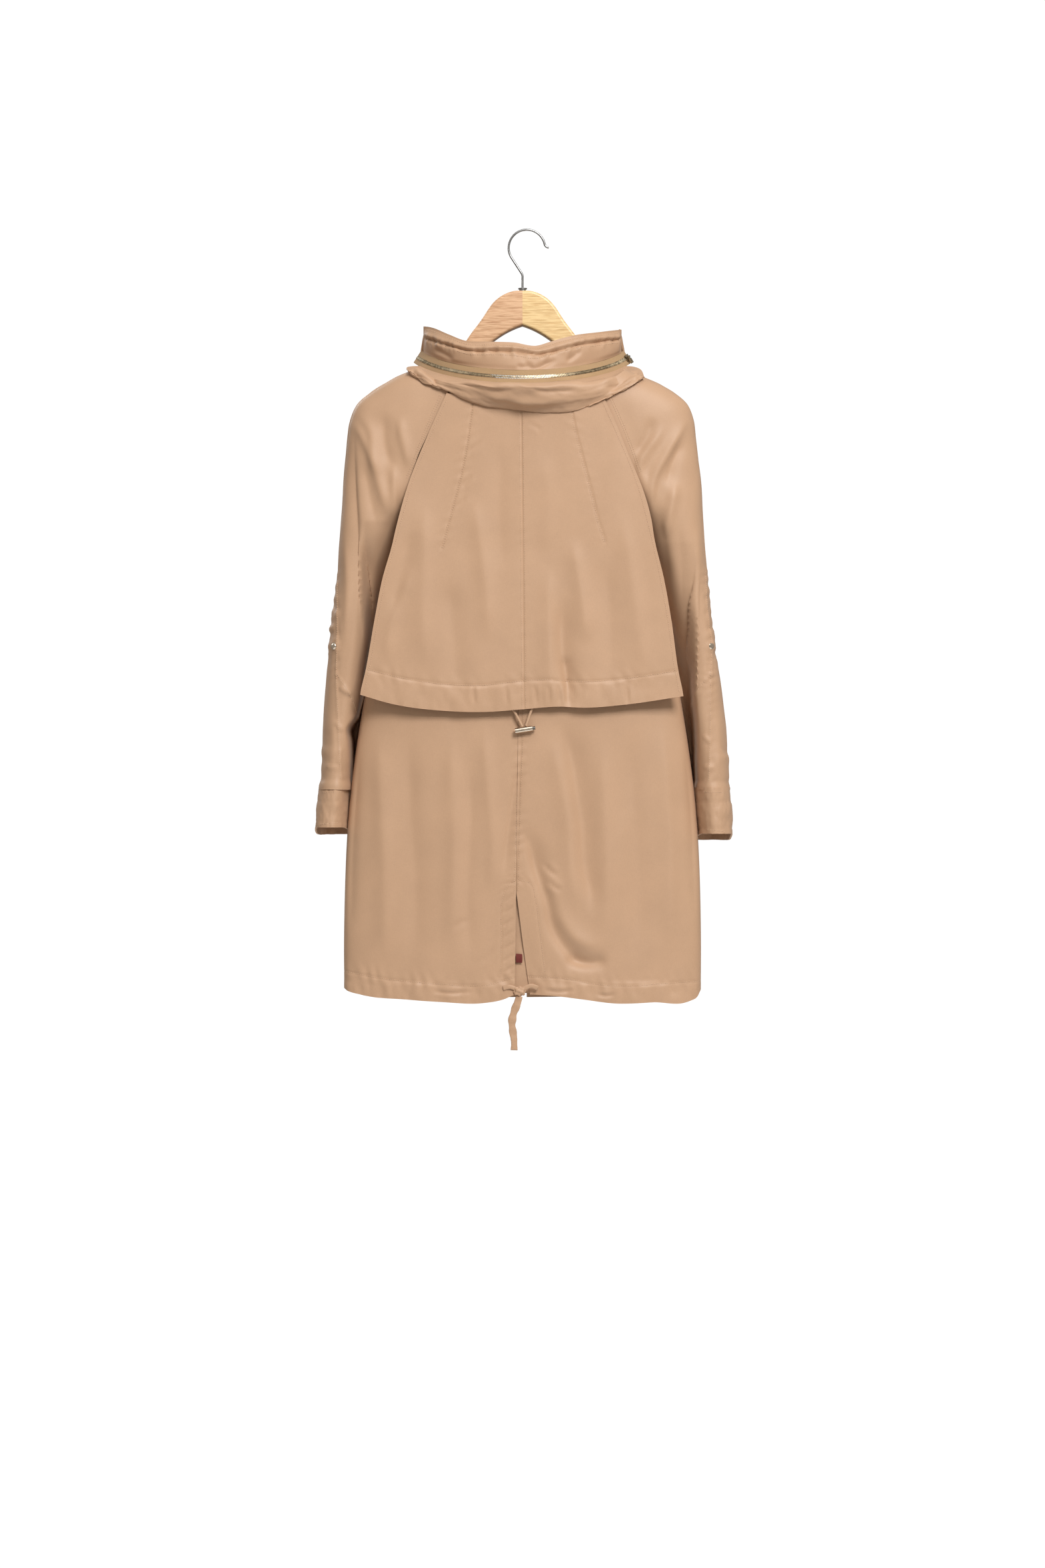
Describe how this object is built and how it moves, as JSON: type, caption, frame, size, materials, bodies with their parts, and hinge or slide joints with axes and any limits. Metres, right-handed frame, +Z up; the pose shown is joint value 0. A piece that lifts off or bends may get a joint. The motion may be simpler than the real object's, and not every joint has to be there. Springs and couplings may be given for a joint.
{
  "type": "hooded parka on a hanger",
  "caption": "Lightweight hooded parka hanging by a wooden hanger: back cape, raglan sleeves, funnel collar with a stowed hood, waist cord and back vent.",
  "frame": {"origin": "where the rail bears inside the hook's bend", "axes": "+Z up, +Y the way the wearer faces, +X the wearer's right"},
  "size_m": [0.5994, 0.1493, 1.1775],
  "materials": {
    "shell_cloth": "satin",
    "beech": "satin lacquer",
    "maple": "satin lacquer",
    "dowel_wood": "plain",
    "plated_steel": "bright",
    "hood_cloth": "satin",
    "cord_braid": "braided",
    "zip_tape": "woven",
    "zip_metal": "polished",
    "pale_gold": "polished",
    "spring_steel": "satin",
    "red_tab": "woven"
  },
  "bodies": {
    "coat": {"hanger_left_arm": "beech", "hanger_right_arm": "maple", "hanger_dowels": "dowel_wood", "hook_ferrule": "plated_steel", "back_left_panel": "shell_cloth", "back_right_panel": "shell_cloth", "front_left_panel": "shell_cloth", "front_right_panel": "shell_cloth", "front_wind_flap": "shell_cloth", "vent_tab": "red_tab", "cape_left_upper": "shell_cloth", "cape_right_upper": "shell_cloth", "left_raglan_back": "shell_cloth", "left_raglan_front": "shell_cloth", "right_raglan_back": "shell_cloth", "right_raglan_front": "shell_cloth", "collar_back": "shell_cloth", "collar_drawcord": "cord_braid", "collar_left_front": "shell_cloth", "collar_right_front": "shell_cloth", "hood_pouch": "shell_cloth", "collar_zip_upper_tape": "zip_tape", "collar_zip_lower_tape": "zip_tape", "collar_zip_teeth": "zip_metal", "folded_hood": "hood_cloth", "front_zip_teeth": "zip_metal", "front_zip_tapes": "zip_tape", "front_zip_stops": "zip_metal", "pocket_bags": "shell_cloth", "waist_cord_left": "cord_braid", "waist_cord_right": "cord_braid", "waist_cord_eyelets": "pale_gold", "cord_lock_barrel": "pale_gold", "cord_lock_spring": "spring_steel", "hem_tie_knot": "shell_cloth", "hem_tie": "shell_cloth", "locker_loop": "cord_braid"},
    "hook": {"hanger_hook": "plated_steel"},
    "cape_flap": {"cape_left_flap": "shell_cloth", "cape_right_flap": "shell_cloth", "cape_hem_band": "shell_cloth"},
    "left_sleeve": {"left_sleeve_back": "shell_cloth", "left_sleeve_front": "shell_cloth", "left_cuff": "shell_cloth", "left_sleeve_snap": "pale_gold", "left_roll_tab": "shell_cloth"},
    "right_sleeve": {"right_sleeve_back": "shell_cloth", "right_sleeve_front": "shell_cloth", "right_cuff": "shell_cloth", "right_sleeve_snap": "pale_gold", "right_roll_tab": "shell_cloth"},
    "collar_slider": {"collar_zip_slider": "zip_metal"},
    "collar_puller": {"collar_zip_puller": "zip_metal"},
    "front_slider": {"front_zip_slider": "zip_metal"},
    "front_puller": {"front_zip_puller": "zip_metal"},
    "lock_plunger": {"cord_lock_plunger": "pale_gold"},
    "left_flap": {"left_pocket_flap": "shell_cloth"},
    "right_flap": {"right_pocket_flap": "shell_cloth"}
  },
  "joints": [
    {"name": "hook_swivel", "type": "hinge", "parent": "coat", "child": "hook", "pos_m": [-0.0062, 0, -0.09], "axis": [0, 0, 1], "continuous": true},
    {"name": "cape_lift", "type": "hinge", "parent": "coat", "child": "cape_flap", "pos_m": [-0.0062, -0.0592, -0.462], "axis": [-1, 0, 0], "range_deg": [0, 70]},
    {"name": "left_sleeve_swing", "type": "hinge", "parent": "coat", "child": "left_sleeve", "pos_m": [-0.2412, 0, -0.3], "axis": [0, 1, 0], "range_deg": [0, 35]},
    {"name": "right_sleeve_swing", "type": "hinge", "parent": "coat", "child": "right_sleeve", "pos_m": [0.2288, 0, -0.3], "axis": [0, -1, 0], "range_deg": [0, 35]},
    {"name": "collar_zip_run", "type": "hinge", "parent": "coat", "child": "collar_slider", "pos_m": [-0.0062, 0.091, -0.1574], "axis": [0, -0.3616, 0.9323], "range_deg": [-134, 0]},
    {"name": "collar_puller_flip", "type": "hinge", "parent": "collar_slider", "child": "collar_puller", "pos_m": [0.14729, 0.0323, -0.17755], "axis": [-0.3746, -0.8644, -0.3353], "range_deg": [0, 110]},
    {"name": "front_zip_run", "type": "slide", "parent": "coat", "child": "front_slider", "axis": [0, 0, -1], "range_m": [0, 0.77]},
    {"name": "front_puller_flip", "type": "hinge", "parent": "front_slider", "child": "front_puller", "pos_m": [-0.0062, 0.0577, -0.268], "axis": [1, 0, 0], "range_deg": [0, 150]},
    {"name": "cord_lock_press", "type": "slide", "parent": "coat", "child": "lock_plunger", "axis": [-0.9877, 0, -0.1564], "range_m": [0, 0.003], "stiffness_N_per_m": 300, "springref_m": -0.0015},
    {"name": "left_pocket_flap_lift", "type": "hinge", "parent": "coat", "child": "left_flap", "pos_m": [-0.1212, 0.0535, -0.69], "axis": [0.99, 0.1409, 0], "range_deg": [0, 110]},
    {"name": "right_pocket_flap_lift", "type": "hinge", "parent": "coat", "child": "right_flap", "pos_m": [0.1088, 0.0535, -0.69], "axis": [0.99, -0.1409, 0], "range_deg": [0, 110]}
  ]
}
